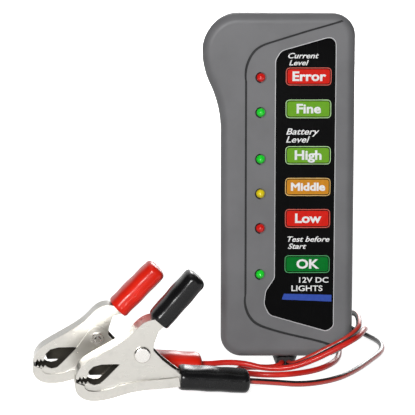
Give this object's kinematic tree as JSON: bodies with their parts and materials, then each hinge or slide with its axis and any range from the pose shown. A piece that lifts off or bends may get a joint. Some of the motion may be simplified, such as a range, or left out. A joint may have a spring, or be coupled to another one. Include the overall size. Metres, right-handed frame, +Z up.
{
  "type": "battery tester",
  "caption": "Hand-held 12 V battery tester: grey moulded case with six status lights on a black label, and two leads ending in sprung crocodile clamps.",
  "frame": {"origin": "centre of the case's footprint on the surface that it stands on, under its cord boot", "axes": "+Z up the case, +X to the right seen from the front, the label faces -Y"},
  "size_m": [0.1364, 0.1181, 0.1354],
  "materials": {
    "case_plastic": "fine satin moulded",
    "label_film": "gloss black",
    "red_lens": "diffused lens",
    "green_lens": "diffused lens",
    "yellow_lens": "diffused lens",
    "black_rubber": "satin",
    "plated_steel": "nickel plated",
    "red_vinyl": "gloss vinyl",
    "black_vinyl": "gloss vinyl",
    "red_lead": "gloss vinyl",
    "black_lead": "gloss vinyl with a red stripe"
  },
  "bodies": {
    "tester": {"front_shell": "case_plastic", "back_shell": "case_plastic", "front_label": "label_film", "led_1_red": "red_lens", "led_2_green": "green_lens", "led_3_green": "green_lens", "led_4_yellow": "yellow_lens", "led_5_red": "red_lens", "led_6_green": "green_lens", "cord_boot": "black_rubber", "coil_tie": "black_vinyl", "red_lower_arm": "plated_steel", "red_spring_lower": "plated_steel", "red_pivot_screw": "plated_steel", "red_pivot_nut": "plated_steel", "red_lower_sleeve": "red_vinyl", "red_lead_to_case": "red_lead", "red_lead_to_clamp": "red_lead", "red_lead_coil": "red_lead", "black_lower_arm": "plated_steel", "black_spring_lower": "plated_steel", "black_pivot_rivet": "plated_steel", "black_lower_sleeve": "black_vinyl", "black_lead_to_case": "black_lead", "black_lead_to_clamp": "black_lead", "black_lead_coil": "black_lead"},
    "red_upper_jaw": {"red_upper_arm": "plated_steel", "red_upper_sleeve": "red_vinyl", "red_spring_upper": "plated_steel"},
    "black_upper_jaw": {"black_upper_arm": "plated_steel", "black_upper_sleeve": "black_vinyl", "black_spring_upper": "plated_steel"}
  },
  "joints": [
    {"name": "red_clamp_open", "type": "hinge", "parent": "tester", "child": "red_upper_jaw", "pos_m": [-0.0676, -0.02173, 0.0165], "axis": [-0.1045, 0.9945, 0], "range_deg": [0, 30], "stiffness_Nm_per_rad": 0.25, "springref_deg": -28.65},
    {"name": "black_clamp_open", "type": "hinge", "parent": "tester", "child": "black_upper_jaw", "pos_m": [-0.0502, -0.04733, 0.0165], "axis": [-0.1045, 0.9945, 0], "range_deg": [0, 30], "stiffness_Nm_per_rad": 0.25, "springref_deg": -28.65}
  ]
}
